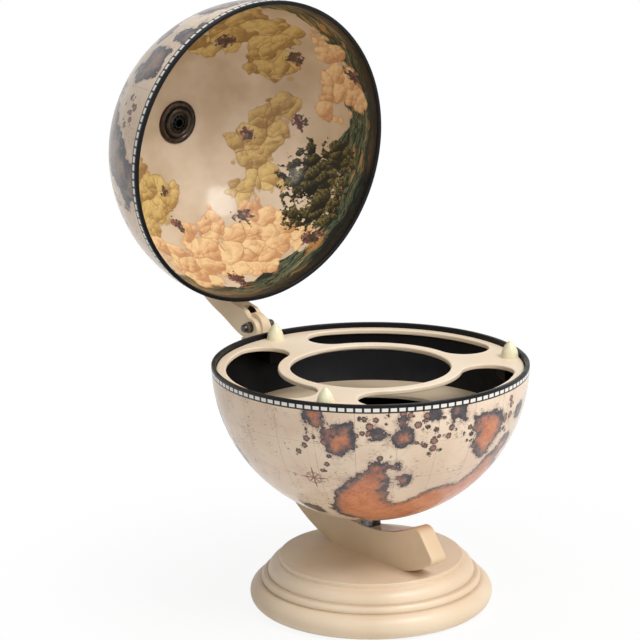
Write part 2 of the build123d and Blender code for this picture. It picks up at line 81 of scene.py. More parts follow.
def mixed(tree, share, first, second, way="MIX"):
    """The first colour where the share is 0, the second where it is 1."""
    colours = {0: share, 6: first, 7: second}
    return put(tree, "ShaderNodeMix", colours, data_type="RGBA", blend_type=way).outputs[2]


def mottle(tree, place, scale, detail=3.0, roughness=0.5):
    """Soft uneven patches, about 0.3 to 0.7."""
    sizes = {"Vector": place, "Scale": scale, "Detail": detail, "Roughness": roughness}
    return put(tree, "ShaderNodeTexNoise", sizes).outputs["Fac"]


def object_place(tree):
    return put(tree, "ShaderNodeTexCoord").outputs["Object"]


def stretched(tree, place, scale):
    return put(tree, "ShaderNodeMapping", {"Vector": place, "Scale": scale}).outputs[0]


def parts(tree, place):
    """The X, Y and Z of a place."""
    return put(tree, "ShaderNodeSeparateXYZ", {0: place}).outputs


NUMBER = "NodeSocketFloat"
COLOUR = "NodeSocketColor"
PLACE = "NodeSocketVector"


def new_group(name, inputs, outputs):
    """An empty node group with named sockets, and its two ends."""
    tree = bpy.data.node_groups.new(name, "ShaderNodeTree")
    for socket, kind in inputs.items():
        tree.interface.new_socket(socket, in_out="INPUT", socket_type=kind)
    for socket, kind in outputs.items():
        tree.interface.new_socket(socket, in_out="OUTPUT", socket_type=kind)
    return tree, put(tree, "NodeGroupInput").outputs, put(tree, "NodeGroupOutput").inputs


def placed(tree, group, inputs):
    """A node group set into a material, and its outputs."""
    return put(tree, "ShaderNodeGroup", inputs, node_tree=group).outputs


def new_finish(name, **fixed):
    """A material, its tree and its shader, with the shader's fixed values set."""
    finish = bpy.data.materials.new(name)
    finish.use_nodes = True
    shader = finish.node_tree.nodes["Principled BSDF"]
    for socket, value in fixed.items():
        shader.inputs[socket.replace("_", " ")].default_value = value
    return finish, finish.node_tree, shader


def dress(tree, shader, colour, roughness, height, depth):
    """Join colour, roughness and bump. A height of 0 to 1 stands for the depth in metres, and a
    roughness of None leaves the shader's own."""
    tree.links.new(colour, shader.inputs["Base Color"])
    if roughness is not None:
        tree.links.new(roughness, shader.inputs["Roughness"])
    bump = put(tree, "ShaderNodeBump", {"Height": height, "Distance": depth, "Strength": 1.0})
    tree.links.new(bump.outputs[0], shader.inputs["Normal"])


# Sprayed paint: slow drift of tone, sanding grain under it, orange peel and small pits.
sprayed, given, out = new_group(
    "sprayed_paint",
    {"Place": PLACE, "Grain place": PLACE, "Paint": COLOUR, "Shade": COLOUR},
    {"Colour": COLOUR, "Roughness": NUMBER, "Height": NUMBER},
)
drift = mottle(sprayed, given["Place"], 9.0, 2.0)
grain = mottle(sprayed, given["Grain place"], 1.0, 4.0, 0.6)
pits = ranged(sprayed, mottle(sprayed, given["Place"], 900.0, 1.0), 0.68, 0.76)
coat = mixed(sprayed, ranged(sprayed, drift, 0.35, 0.7), given["Paint"], given["Shade"])
coat = mixed(sprayed, ranged(sprayed, grain, 0.45, 0.75, 0.0, 0.16), coat, given["Shade"])
coat = mixed(sprayed, calc(sprayed, "MULTIPLY", pits, 0.35), coat, given["Shade"], "MULTIPLY")
peel = mottle(sprayed, given["Place"], 420.0, 1.0)
height = calc(sprayed, "MULTIPLY_ADD", grain, 0.5, calc(sprayed, "SUBTRACT", peel, pits))
sprayed.links.new(coat, out["Colour"])
sprayed.links.new(ranged(sprayed, drift, 0.3, 0.7, 0.36, 0.5), out["Roughness"])
sprayed.links.new(height, out["Height"])


def cream_paint(name, grain_scale, paint, shade, marks=None):
    """Cream paint over board. marks(tree, place, colour) adds what only one piece has."""
    finish, tree, shader = new_finish(name, Coat_Weight=0.12, Coat_Roughness=0.3, IOR=1.46)
    place = object_place(tree)
    grain_place = stretched(tree, place, grain_scale)
    sockets = {"Place": place, "Grain place": grain_place, "Paint": paint, "Shade": shade}
    look = placed(tree, sprayed, sockets)
    colour = marks(tree, place, look["Colour"]) if marks else look["Colour"]
    dress(tree, shader, colour, look["Roughness"], look["Height"], 0.00006)
    return finish


def finish_nodes(finish, *names):
    for name in names:
        materials = frame["nodes"][name].data.materials
        materials.clear()
        materials.append(finish)


GROOVES = (0.0262, 0.034)  # heights of the two turned grooves, below and above the bead
GROOVE_REACH = 0.0012


# Painted shade: the paint is darkened to a brown in the two turned grooves, where shade falls.
def shaded_grooves(tree, place, colour):
    for groove in GROOVES:
        near = calc(tree, "ABSOLUTE", calc(tree, "SUBTRACT", parts(tree, place)["Z"], groove))
        groove_shade = ranged(tree, near, GROOVE_REACH, 0.0, 0.0, 0.3)
        colour = mixed(tree, groove_shade, colour, tone(150, 118, 82))
    return colour


base_paint = cream_paint(
    "turned_base_paint", (60, 60, 900), tone(236, 216, 188), tone(222, 198, 167), shaded_grooves
)
finish_nodes(base_paint, "base_plinth")


# ------------------------------------------------------------------ felt under the base
# A disc cut from green wool felt, glued to the plinth so that it doesn't scratch the table.
# Its cut edge is slightly ragged and its face is a mat of short fibres.
def new_piece(name, mesh_maker, body, finish):
    """Turn a bmesh into a finished piece that rides on a body."""
    mesh = bpy.data.meshes.new(name)
    bmesh.ops.recalc_face_normals(mesh_maker, faces=mesh_maker.faces)
    mesh_maker.to_mesh(mesh)
    mesh_maker.free()
    piece = bpy.data.objects.new(name, mesh)
    bpy.context.scene.collection.objects.link(piece)
    mesh.materials.append(finish)
    mesh.shade_smooth()
    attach(piece, body)
    return piece


felt_finish, tree, shader = new_finish("green_felt", Sheen_Weight=0.6, Sheen_Roughness=0.6, Roughness=0.95)
fibres = mottle(tree, stretched(tree, object_place(tree), (1500, 900, 1500)), 1.0, 3.0, 0.7)
dress(tree, shader, mixed(tree, fibres, tone(24, 44, 33), tone(58, 84, 66)), None, fibres, 0.0004)

RAGGED = 0.0004   # the cut edge lies this far inside the round, more or less by as much again
FELT_EDGE = 0.3   # rounding of the edge, as a share of the thickness
felt_low, felt_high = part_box("base_felt")
felt_r = (felt_high.x - felt_low.x) / 2
felt_t = felt_high.z - felt_low.z
disc = bmesh.new()
bmesh.ops.create_circle(disc, cap_ends=True, segments=180, radius=felt_r)
for corner in disc.verts:
    wander = math.sin(corner.index * 2.3) * math.sin(corner.index * 0.71) - 1
    corner.co += corner.co.normalized() * (RAGGED * wander)
lifted = bmesh.ops.extrude_face_region(disc, geom=disc.faces[:])
top_corners = [v for v in lifted["geom"] if isinstance(v, bmesh.types.BMVert)]
bmesh.ops.translate(disc, verts=top_corners, vec=(0, 0, felt_t))
cut_edges = [e for e in disc.edges if abs(e.verts[0].co.z - e.verts[1].co.z) < 1e-6]
bmesh.ops.bevel(
    disc, geom=cut_edges, offset=FELT_EDGE * felt_t, affect="EDGES", segments=2, profile=0.5, material=-1
)
felt = new_piece("felt_disc", disc, "stand", felt_finish)
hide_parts("base_felt")


# ------------------------------------------------------------------ screws, stud and plain washers
# Zinc plated steel: the wood screws come up through the plinth into the arm, smaller ones hold
# the tray, the stud is the hinge's pin, and the washers lie under a head or a turning shell.
plating, given, out = new_group(
    "worn_plating",
    {"Place": PLACE, "Scratch place": PLACE, "Bright": COLOUR, "Dull": COLOUR, "Roughness": NUMBER},
    {"Colour": COLOUR, "Roughness": NUMBER, "Height": NUMBER},
)
cloud = mottle(plating, given["Place"], 160.0, 3.0)
scratches = mottle(plating, given["Scratch place"], 1.0, 3.0, 0.7)
wear = calc(plating, "MULTIPLY_ADD", scratches, 0.5, calc(plating, "MULTIPLY", cloud, 0.5))
worn_metal = mixed(plating, ranged(plating, wear, 0.35, 0.65), given["Bright"], given["Dull"])
uneven = calc(plating, "MULTIPLY", ranged(plating, wear, 0.3, 0.7, 0.75, 1.25), given["Roughness"])
plating.links.new(worn_metal, out["Colour"])
plating.links.new(uneven, out["Roughness"])
plating.links.new(scratches, out["Height"])


def metal(name, bright, dull, roughness, scratch_scale):
    """Metal whose plating is clouded and finely scratched."""
    finish, tree, shader = new_finish(name, Metallic=1.0)
    place = object_place(tree)
    sockets = {"Place": place, "Scratch place": stretched(tree, place, scratch_scale)}
    sockets.update({"Bright": bright, "Dull": dull, "Roughness": roughness})
    look = placed(tree, plating, sockets)
    dress(tree, shader, look["Colour"], look["Roughness"], look["Height"], 0.00002)
    return finish


zinc = metal("zinc_plate", tone(196, 198, 202), tone(150, 152, 158), 0.32, (300, 300, 2500))
finish_nodes(zinc, "arm_screws", "tray_screws", "hinge_pin")
finish_nodes(zinc, "base_bolt_washer", "bowl_thrust_washer", "lid_thrust_washer")


# ------------------------------------------------------------------ lower arm
# A bow cut from thick board, rounded along its edges and sprayed with the base's cream, a shade
# deeper. The grain of the sanding runs along the bow.
ARM_GRAIN = (700, 70, 70)
ARM_CREAM = tone(233, 210, 176)
ARM_SHADE = tone(214, 187, 149)
finish_nodes(cream_paint("arm_paint", ARM_GRAIN, ARM_CREAM, ARM_SHADE), "lower_arm")


# ------------------------------------------------------------------ pole bolts and their nuts
# Steel bolts blackened in oil, which run from a bow through the pole of each half of the globe.
# The nut that spaces the shell from the bow is brighter, where a spanner has rubbed it.
black_steel = metal("black_steel", tone(58, 58, 62), tone(14, 14, 16), 0.28, (900, 900, 900))
finish_nodes(black_steel, "base_bolt", "lid_bolt", "lid_bolt_washer")
nut_steel = metal("nut_steel", tone(120, 122, 126), tone(38, 38, 42), 0.22, (700, 700, 700))
finish_nodes(nut_steel, "bowl_spacer_nut", "lid_spacer_nut")


# ------------------------------------------------------------------ bowl shell and its print
# A half ball of hard board, printed paper gores pasted on outside and lacquered: parchment with
# orange lands, thin meridians and a black and white band at the rim. The inside is satin black.
shell_low, shell_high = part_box("bowl_shell")
GLOBE_R = (shell_high.x - shell_low.x) / 2
WALL = 0.0045
RIM_RING_H = 0.0032
bowl_centre = Vector((0, 0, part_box("bowl_rim_ring")[1].z))


def vector_calc(tree, operation, first, second=(0.0, 0.0, 0.0)):
    return put(tree, "ShaderNodeVectorMath", {0: first, 1: second}, operation=operation).outputs["Vector"]


def measured(tree, operation, first, second=(0.0, 0.0, 0.0)):
    """The number that a LENGTH, a DISTANCE or a DOT_PRODUCT gives."""
    return put(tree, "ShaderNodeVectorMath", {0: first, 1: second}, operation=operation).outputs["Value"]


def toward(azimuth, rise):
    """Direction from a globe's centre: around the rim, then up from the rim to the pole, in degrees."""
    around, up = math.radians(azimuth), math.radians(rise)
    return Vector((math.cos(around) * math.cos(up), math.sin(around) * math.cos(up), math.sin(up)))


def patches(tree, place, spots, melt=0.07):
    """How far a place is inside several round spots, which run together where they are near."""
    inside = None
    for azimuth, rise, reach in spots:
        away = measured(tree, "DISTANCE", place, toward(azimuth, rise))
        depth = calc(tree, "SUBTRACT", math.radians(reach), away)
        inside = depth if inside is None else calc(tree, "SMOOTH_MAX", inside, depth, melt)
    return inside


def wandering(tree, place, scale, amount, detail=2.0):
    """The place pushed about, so that round spots get a crooked edge."""
    push = put(tree, "ShaderNodeTexNoise", {"Vector": place, "Scale": scale, "Detail": detail})
    centred = vector_calc(tree, "SUBTRACT", push.outputs["Color"], (0.5, 0.5, 0.5))
    pushed = put(tree, "ShaderNodeVectorMath", {0: centred, 3: amount}, operation="SCALE").outputs[0]
    return vector_calc(tree, "ADD", place, pushed)


def ruled(tree, value, spacing, width):
    """Thin lines at even spacing."""
    share = calc(tree, "FRACT", calc(tree, "DIVIDE", value, spacing))
    off = calc(tree, "MULTIPLY", calc(tree, "ABSOLUTE", calc(tree, "SUBTRACT", share, 0.5)), spacing)
    return ranged(tree, off, spacing / 2 - width, spacing / 2 - width / 3)


def banded(tree, value, middle, outer, inner):
    """A line where the value is at its middle, clear at the outer distance and full at the inner."""
    return ranged(tree, calc(tree, "ABSOLUTE", calc(tree, "SUBTRACT", value, middle)), outer, inner)


def steps(tree, value, stops):
    """Colours along a value from 0 to 1."""
    ramp = put(tree, "ShaderNodeValToRGB", {"Fac": value})
    for _ in stops[2:]:
        ramp.color_ramp.elements.new(0.5)
    for element, (place, colour) in zip(ramp.color_ramp.elements, stops):
        element.position = place
        element.color = colour
    return ramp.outputs[0]


# The print takes a direction on the globe, how far inside a land's coast that lies, the same
# for the whole body of a land, how far inside a group of small islands, and the lands' colours.
ink, given, out = new_group(
    "map_ink",
    {
        "Direction": PLACE,
        "Land": NUMBER,
        "Depth": NUMBER,
        "Islands": NUMBER,
        "Soil": COLOUR,
        "Dark soil": COLOUR,
    },
    {"Colour": COLOUR, "Relief": NUMBER},
)
direction = given["Direction"]
split = parts(ink, direction)
azimuth = calc(ink, "ARCTAN2", split["Y"], split["X"])
rise = calc(ink, "ARCSINE", split["Z"])
bays = calc(ink, "MULTIPLY_ADD", mottle(ink, direction, 24.0, 5.0, 0.72), 0.11, -0.055)
notches = calc(ink, "MULTIPLY_ADD", mottle(ink, direction, 120.0, 2.0, 0.6), 0.018, -0.009)
land = calc(ink, "ADD", given["Land"], calc(ink, "ADD", bays, notches))

# Small islands: one spot in each cell of a scattered pattern, of many sizes.
ISLAND_CELLS = 19.0
scattered = {"Vector": wandering(ink, direction, 60.0, 0.014), "Scale": ISLAND_CELLS, "Randomness": 1.0}
cells = put(ink, "ShaderNodeTexVoronoi", scattered).outputs
chance = put(ink, "ShaderNodeSeparateColor", {0: cells["Color"]}).outputs["Red"]
islets = calc(ink, "SUBTRACT", ranged(ink, chance, 0.0, 0.8, 0.14, 0.46), cells["Distance"])
islets = calc(ink, "MULTIPLY_ADD", islets, 1 / ISLAND_CELLS, calc(ink, "MULTIPLY", notches, 1.1))
islets = calc(ink, "SUBTRACT", islets, ranged(ink, given["Islands"], 0.01, -0.03, 0.0, 0.06))

# Paper: old parchment with fibres, stains and a pink blush.
age = ranged(ink, mottle(ink, direction, 2.2, 3.0), 0.35, 0.7)
paper = mixed(ink, age, tone(240, 218, 193), tone(226, 200, 173))
fibre = mottle(ink, direction, 190.0, 2.0, 0.7)
paper = mixed(ink, ranged(ink, fibre, 0.5, 0.8, 0.0, 0.25), paper, tone(190, 160, 130))
blush = ranged(ink, mottle(ink, direction, 5.0, 2.0), 0.5, 0.72, 0.0, 0.3)
paper = mixed(ink, blush, paper, tone(224, 186, 166))
stain = ranged(ink, mottle(ink, direction, 13.0, 5.0, 0.7), 0.55, 0.72, 0.0, 0.3)
paper = mixed(ink, stain, paper, tone(176, 146, 118))

# Meridians and parallels every 15 degrees, and five great circles, each named by its pole.
LINE_SPACING = math.radians(15)
LINE = 0.0024
SEPIA = tone(118, 88, 66)
GREAT_CIRCLES = (
    (0.71, 0.1, 0.7), (-0.3, 0.8, 0.52), (0.62, -0.6, 0.5), (0.2, 0.93, -0.3), (-0.85, 0.2, 0.48),
)
meridians = calc(ink, "MULTIPLY", ruled(ink, azimuth, LINE_SPACING, 1.4 * LINE), 0.42)
parallels = calc(ink, "MULTIPLY", ruled(ink, rise, LINE_SPACING, LINE), 0.38)
lines = calc(ink, "MAXIMUM", meridians, parallels)
for pole in GREAT_CIRCLES:
    off_circle = calc(ink, "ABSOLUTE", measured(ink, "DOT_PRODUCT", direction, Vector(pole).normalized()))
    thin = ranged(ink, off_circle, 0.7 * LINE, 0.2 * LINE, 0.0, 0.45)
    lines = calc(ink, "MAXIMUM", lines, thin)
worn = ranged(ink, mottle(ink, direction, 20.0, 2.0), 0.3, 0.6, 0.35, 1.0)
paper = mixed(ink, calc(ink, "MULTIPLY", lines, worn), paper, SEPIA)

# Waves: short curled strokes out at sea, in loose groups.
curl = stretched(ink, wandering(ink, direction, 9.0, 0.05), (42.0, 42.0, 160.0))
strokes = ranged(ink, mottle(ink, curl, 1.0, 1.0), 0.61, 0.66, 0.0, 0.6)
groups = ranged(ink, mottle(ink, direction, 9.0, 1.0), 0.5, 0.6)
paper = mixed(ink, calc(ink, "MULTIPLY", strokes, groups), paper, tone(104, 78, 62))

# A compass rose: eight points, one half of each shaded, over a double ring, and thin courses
# run out from it. Its lengths are shares of the globe's radius.
ROSE_HUB = 0.014
ROSE_POINT = 0.05          # length of the four short points beyond the hub
ROSE_LONGER = 0.035        # what the four long points add
ROSE_RING = 0.041
ROSE_OUTER_RING = 0.049
heart = toward(153, 31)
eastward = heart.cross(Vector((0, 0, 1))).normalized()
east = measured(ink, "DOT_PRODUCT", direction, eastward)
north = measured(ink, "DOT_PRODUCT", direction, eastward.cross(heart))
ahead = ranged(ink, measured(ink, "DOT_PRODUCT", direction, heart), 0.1, 0.3)
bearing = calc(ink, "ARCTAN2", north, east)
squares = calc(ink, "ADD", calc(ink, "MULTIPLY", north, north), calc(ink, "MULTIPLY", east, east))
out_far = calc(ink, "SQRT", squares)
off_course = calc(ink, "ABSOLUTE", calc(ink, "SINE", calc(ink, "MULTIPLY", bearing, 8.0)))
courses = ranged(ink, calc(ink, "MULTIPLY", off_course, out_far), 0.009, 0.004, 0.0, 0.3)
courses = calc(ink, "MULTIPLY", courses, ranged(ink, out_far, 0.05, 0.06))
courses = calc(ink, "MULTIPLY", calc(ink, "MULTIPLY", courses, ahead), worn)
paper = mixed(ink, courses, paper, SEPIA)
eighth = calc(ink, "FRACT", calc(ink, "MULTIPLY_ADD", bearing, 4 / math.pi, 0.5))
point = calc(ink, "MULTIPLY_ADD", calc(ink, "ABSOLUTE", calc(ink, "SUBTRACT", eighth, 0.5)), -2.0, 1.0)
quarter = calc(ink, "ABSOLUTE", calc(ink, "COSINE", calc(ink, "MULTIPLY", bearing, 2.0)))
tip = calc(ink, "MULTIPLY_ADD", calc(ink, "POWER", quarter, 4.0), ROSE_LONGER, ROSE_POINT)
reach = calc(ink, "MULTIPLY_ADD", calc(ink, "POWER", point, 2.4), tip, ROSE_HUB)
star = ranged(ink, calc(ink, "SUBTRACT", out_far, reach), 0.0012, -0.0012)
star = calc(ink, "MULTIPLY", star, ahead)
ring = banded(ink, out_far, ROSE_RING, 0.0026, 0.001)
outer_ring = banded(ink, out_far, ROSE_OUTER_RING, 0.0034, 0.0018)
rings = calc(ink, "MULTIPLY", calc(ink, "MAXIMUM", ring, outer_ring), ahead)
paper = mixed(ink, calc(ink, "MULTIPLY", rings, 0.75), paper, tone(92, 66, 52))
shaded = mixed(ink, ranged(ink, eighth, 0.48, 0.52), tone(172, 108, 78), tone(72, 54, 48))
paper = mixed(ink, calc(ink, "MULTIPLY", star, 0.9), paper, shaded)

# Lands: two soils with pale dunes, rivers and hills.
soil = ranged(ink, mottle(ink, direction, 12.0, 5.0, 0.65), 0.35, 0.68)
ground = mixed(ink, soil, given["Soil"], given["Dark soil"])
dunes = ranged(ink, mottle(ink, direction, 42.0, 4.0), 0.55, 0.72, 0.0, 0.4)
ground = mixed(ink, dunes, ground, tone(220, 164, 128))
off_river = calc(ink, "ABSOLUTE", calc(ink, "SUBTRACT", mottle(ink, direction, 26.0, 3.0), 0.5))
ground = mixed(ink, ranged(ink, off_river, 0.012, 0.004, 0.0, 0.35), ground, tone(96, 60, 46))
hills = mottle(ink, stretched(ink, direction, (90.0, 90.0, 150.0)), 1.0, 3.0)
ground = mixed(ink, ranged(ink, hills, 0.6, 0.7, 0.0, 0.4), ground, tone(112, 66, 48))

# Coasts: a soft grey wash out to sea, a dark ragged edge, then a hatched grey fringe that turns
# to the colour of the land.
land_wash = ranged(ink, land, -0.028, 0.0, 0.0, 0.5)
islet_wash = ranged(ink, islets, -0.006, 0.0, 0.0, 0.5)
paper = mixed(ink, calc(ink, "MAXIMUM", land_wash, islet_wash), paper, tone(150, 128, 118))
fringe_edge = calc(ink, "MULTIPLY_ADD", mottle(ink, direction, 18.0, 5.0, 0.7), 0.12, -0.06)
inland = calc(ink, "ADD", calc(ink, "ADD", given["Depth"], bays), fringe_edge)
fringe = steps(
    ink,
    calc(ink, "MULTIPLY", inland, 9.0),
    [(0.0, tone(54, 49, 51)), (0.25, tone(78, 72, 76)), (0.55, tone(98, 91, 95)), (0.95, tone(140, 106, 94))],
)
hatch = ranged(ink, mottle(ink, direction, 75.0, 4.0, 0.7), 0.42, 0.64, 0.0, 0.5)
fringe = mixed(ink, hatch, fringe, tone(60, 54, 56))
ground = mixed(ink, ranged(ink, inland, 0.03, 0.1), fringe, ground)
islet_ground = mixed(ink, ranged(ink, islets, 0.003, 0.012), tone(70, 58, 54), tone(158, 110, 94))
islet_share = ranged(ink, calc(ink, "SUBTRACT", islets, land), -0.001, 0.001)
ground = mixed(ink, islet_share, ground, islet_ground)
shore = calc(ink, "MAXIMUM", land, islets)
ground = mixed(ink, ranged(ink, shore, 0.007, 0.001), ground, tone(50, 42, 42))
chart = mixed(ink, ranged(ink, shore, -0.0015, 0.001), paper, ground)

# The band at the rim is ruled in the same print: black, white blocks, black.
BLOCK_TURN = math.radians(3)
BLOCKS_END = 0.0071        # distances from the lip, along the shell
BAND_END = 0.0087
below = calc(ink, "MULTIPLY", rise, GLOBE_R)
block_share = calc(ink, "FRACT", calc(ink, "DIVIDE", calc(ink, "ADD", azimuth, math.pi), BLOCK_TURN))
block = banded(ink, block_share, 0.5, 0.385, 0.35)
block = calc(ink, "MULTIPLY", block, ranged(ink, below, RIM_RING_H, RIM_RING_H + 0.0003))
block = calc(ink, "MULTIPLY", block, ranged(ink, below, BLOCKS_END, BLOCKS_END - 0.0003))
white = mixed(ink, fibre, tone(246, 243, 238), tone(226, 220, 210))
band = mixed(ink, block, tone(22, 21, 23), white)
chart = mixed(ink, ranged(ink, below, BAND_END, BAND_END - 0.0004), chart, band)
ink.links.new(chart, out["Colour"])
ink.links.new(calc(ink, "ADD", fibre, ranged(ink, shore, -0.004, 0.004)), out["Relief"])


def printed_shell(name, centre, turned, wander, lands, islands, soils, inside, gloss_inside):
    """Lacquered print outside; inside(tree, unit) gives the colour within. The mapping brings the
    half globe's centre to the origin and its pole to +Z."""
    finish, tree, shader = new_finish(name, IOR=1.3, Coat_Roughness=0.14)
    seat = {"Vector": object_place(tree), "Location": centre, "Rotation": turned}
    local = put(tree, "ShaderNodeMapping", seat, vector_type="TEXTURE").outputs[0]
    unit = vector_calc(tree, "NORMALIZE", local)
    length = measured(tree, "LENGTH", local)
    drifted = wandering(tree, wandering(tree, unit, 4.0, wander), 12.0, 0.06)
    sockets = {
        "Direction": unit,
        "Land": patches(tree, drifted, lands),
        "Depth": patches(tree, drifted, lands, 0.22),
        "Islands": patches(tree, wandering(tree, unit, 5.0, 0.15), islands),
        "Soil": soils[0],
        "Dark soil": soils[1],
    }
    print_look = placed(tree, ink, sockets)
    mid_wall = GLOBE_R - WALL / 2
    within = ranged(tree, length, mid_wall + 0.0002, mid_wall - 0.0002)
    colour = mixed(tree, within, print_look["Colour"], inside(tree, unit))
    roughness = ranged(tree, mottle(tree, unit, 7.0, 2.0), 0.3, 0.7, 0.45, 0.6)
    dress(tree, shader, colour, roughness, print_look["Relief"], 0.00005)
    tree.links.new(ranged(tree, within, 0.0, 1.0, 0.7, gloss_inside), shader.inputs["Coat Weight"])
    return finish


# Where the lands lie: around the rim, up from the rim, and reach, in degrees.
BOWL_LANDS = [
    (127, 26, 4), (130, 33, 6.5), (134, 40, 9), (133, 51, 11), (118, 55, 9), (110, 50, 6.5), (101, 46, 6),
    (95, 42, 5.5), (86, 44, 6.5), (77, 39, 7), (73, 32, 6), (66, 25, 5), (104, 58, 13), (92, 53, 12),
    (80, 48, 11), (68, 43, 11), (100, 68, 16), (50, 50, 13), (30, 60, 14),
    (140, 12.5, 6.2), (142.5, 17, 3), (127, 10.5, 3), (118, 12, 4.3), (116.5, 31.5, 3.2), (120.5, 23.5, 2.3),
    (150, 4, 4), (148, 6.5, 2), (118, 5, 2.3), (107, 4.5, 2.6), (97, 5, 3.6), (81, 15, 7.5), (82, 21, 4.6),
    (87.5, 10, 3.4), (60, 12, 4), (167, 54, 4.5),
    (12, 15, 8), (20, 25, 9), (31, 36, 11), (17, 44, 8), (38, 24, 6), (4, 7, 5), (44, 46, 9),
    (-44, 20, 10), (-34, 31, 10), (-52, 38, 12), (-67, 30, 8), (-60, 50, 9), (-30, 12, 6), (-78, 24, 5),
    (-112, 27, 8), (-122, 38, 10), (-104, 46, 9), (-129, 22, 6), (-96, 35, 7), (-91, 56, 8), (-120, 14, 5),
    (-8, 10, 4), (-14, 20, 4), (-75, 8, 5), (-142, 10, 5), (-152, 16, 4), (-160, 32, 5), (-150, 46, 6),
]
BOWL_ISLANDS = [
    (150, 11, 4), (146, 14, 3), (131, 8, 5), (122, 8, 6), (111, 9, 7), (101, 12, 7), (107, 17, 4),
    (91, 13, 5), (69, 12, 6), (124, 21, 3), (146, 22, 4), (158, 16, 5), (163, 31, 3), (30, 6, 7),
    (-25, 8, 8), (-60, 26, 7), (-95, 14, 7), (-125, 20, 8), (-155, 26, 6),
]
ORANGE_SOIL = (tone(220, 142, 98), tone(196, 114, 76))

# Satin black, mottled where the lacquer is thin. The cleats in the bowl have it too.
satin, given, out = new_group("satin_black", {"Place": PLACE}, {"Colour": COLOUR})
black = mixed(satin, mottle(satin, given["Place"], 160.0, 3.0), tone(4, 4, 7), tone(12, 12, 15))
satin.links.new(black, out["Colour"])


def black_inside(tree, place):
    return placed(tree, satin, {"Place": place})["Colour"]


bowl_print = printed_shell(
    "bowl_print", bowl_centre, (math.pi, 0, 0), 0.1, BOWL_LANDS, BOWL_ISLANDS, ORANGE_SOIL, black_inside, 0.0
)
finish_nodes(bowl_print, "bowl_shell")


# ------------------------------------------------------------------ rim rings
# Black plastic rings glued to the lip of each half, softly rounded where the halves meet.
# Handling has left them slightly grey in patches.
ring_finish, tree, shader = new_finish("black_ring", IOR=1.3)
place = object_place(tree)
scuff = ranged(tree, mottle(tree, place, 260.0, 4.0, 0.7), 0.5, 0.75)
ring_colour = mixed(tree, scuff, tone(7, 7, 9), tone(20, 20, 23))
ring_roughness = ranged(tree, mottle(tree, place, 40.0), 0.3, 0.7, 0.32, 0.5)
dress(tree, shader, ring_colour, ring_roughness, scuff, 0.00003)
finish_nodes(ring_finish, "bowl_rim_ring", "lid_rim_ring")


# ------------------------------------------------------------------ bushes and star washer, hinge nuts
# Each pole's hole is covered by a stamped bush, two rolled rings round a cup, in which a star
# washer grips the bolt. Bush, washer and the hinge's cap nuts and washers are bronzed steel.
RED_RIM = (0.0225, 0.0242)  # the bush's outer edge turns redder between these distances
INNER_RING = 0.014          # crest of its inner ring
INNER_RING_REACH = 0.0025
HOLE_SHADE_FADE = 0.0012

patina, given, out = new_group(
    "patina", {"Place": PLACE}, {"Colour": COLOUR, "Roughness": NUMBER, "Height": NUMBER}
)
tarnish = mottle(patina, given["Place"], 150.0, 4.0, 0.6)
brown = mixed(patina, ranged(patina, tarnish, 0.35, 0.65), tone(70, 54, 38), tone(36, 27, 20))
patina.links.new(brown, out["Colour"])
patina.links.new(ranged(patina, tarnish, 0.3, 0.7, 0.22, 0.42), out["Roughness"])
patina.links.new(tarnish, out["Height"])

# Tint by distance from a globe's pole: near black in the middle as painted shade in the hole, paler on the
# inner ring, red outside.
pole_tint, given, out = new_group(
    "pole_tint",
    {"Place": PLACE, "Centre": PLACE, "Pole": PLACE, "Hole shade reach": NUMBER, "Bronze": COLOUR},
    {"Colour": COLOUR},
)
arm = vector_calc(pole_tint, "SUBTRACT", given["Place"], given["Centre"])
off_pole = measured(pole_tint, "LENGTH", vector_calc(pole_tint, "CROSS_PRODUCT", arm, given["Pole"]))
tinted = mixed(pole_tint, ranged(pole_tint, off_pole, *RED_RIM, 0.0, 0.8), given["Bronze"], tone(74, 36, 22))
off_ring = calc(pole_tint, "ABSOLUTE", calc(pole_tint, "SUBTRACT", off_pole, INNER_RING))
paler = ranged(pole_tint, off_ring, INNER_RING_REACH, 0.0, 0.0, 0.4)
tinted = mixed(pole_tint, paler, tinted, tone(64, 54, 44))
# Painted shade: near black around the pole, where the bolt's hole lies in shade.
hole_shade_end = calc(pole_tint, "ADD", given["Hole shade reach"], HOLE_SHADE_FADE)
hole_shade = ranged(pole_tint, off_pole, hole_shade_end, given["Hole shade reach"])
pole_tint.links.new(mixed(pole_tint, hole_shade, tinted, tone(8, 7, 6)), out["Colour"])


def bronze(name, gloss, centre=None, pole=None, hole_shade_reach=0.0106):
    """Brown bronze; with a globe's centre and pole, it is also tinted by distance from the pole."""
    finish, tree, shader = new_finish(name, Metallic=0.6, Coat_Weight=gloss, Coat_Roughness=0.14)
    place = object_place(tree)
    look = placed(tree, patina, {"Place": place})
    colour = look["Colour"]
    if pole is not None:
        sockets = {"Place": place, "Centre": centre, "Pole": pole, "Hole shade reach": hole_shade_reach, "Bronze": colour}
        colour = placed(tree, pole_tint, sockets)["Colour"]
    dress(tree, shader, colour, look["Roughness"], look["Height"], 0.00005)
    return finish


BUSH_GLOSS = 0.15
STAR_HOLE_SHADE = 0.0082          # the star washers are painted near black this far from the pole, as painted shade in the hole
DOWN = Vector((0, 0, -1))
finish_nodes(bronze("bowl_bush_bronze", BUSH_GLOSS, bowl_centre, DOWN), "bowl_escutcheon")
finish_nodes(bronze("bowl_star_bronze", 0.0, bowl_centre, DOWN, STAR_HOLE_SHADE), "bowl_star_washer")
finish_nodes(bronze("hinge_bronze", 0.9), "hinge_cap_nuts", "hinge_washers")


